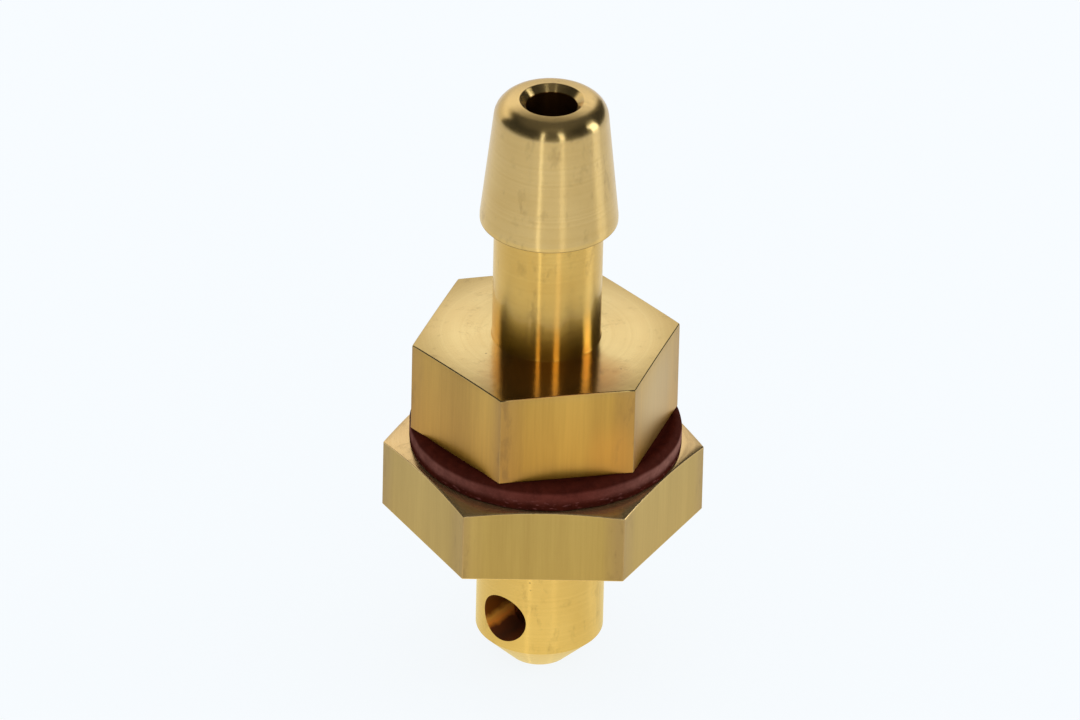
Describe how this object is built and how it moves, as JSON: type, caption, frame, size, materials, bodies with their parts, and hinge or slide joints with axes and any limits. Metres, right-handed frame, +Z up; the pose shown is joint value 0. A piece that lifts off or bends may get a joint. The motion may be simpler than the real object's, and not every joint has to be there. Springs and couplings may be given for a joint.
{
  "type": "test point nipple",
  "caption": "Turned brass hose-tail nipple with a spanner hexagon, coned sealing end and cross hole, held by a lock nut over a fibre washer.",
  "frame": {"origin": "centre of the small flat on the coned tip that the part stands on", "axes": "+Z up along the turned axis to the hose tail's mouth; two flats of the spanner hexagon face +Y and -Y"},
  "size_m": [0.0148, 0.0142, 0.0302],
  "materials": {
    "turned_brass": "polished",
    "vulcanised_fibre": "satin",
    "nut_brass": "satin"
  },
  "bodies": {
    "nipple": {"nipple_body": "turned_brass"},
    "washer": {"fibre_washer": "vulcanised_fibre"},
    "nut": {"lock_nut": "nut_brass"}
  },
  "joints": [
    {"name": "nut_turn", "type": "hinge", "parent": "washer", "child": "nut", "pos_m": [0, 0, 0.0098], "axis": [0, 0, -1], "range_deg": [0, 1080]},
    {"name": "nut_travel", "type": "slide", "parent": "nipple", "child": "washer", "axis": [0, 0, -1], "range_m": [0, 0.003]}
  ],
  "couplings": [
    {"joint": "nut_turn", "follows": "nut_travel", "rad_per_m": 6283.2}
  ]
}
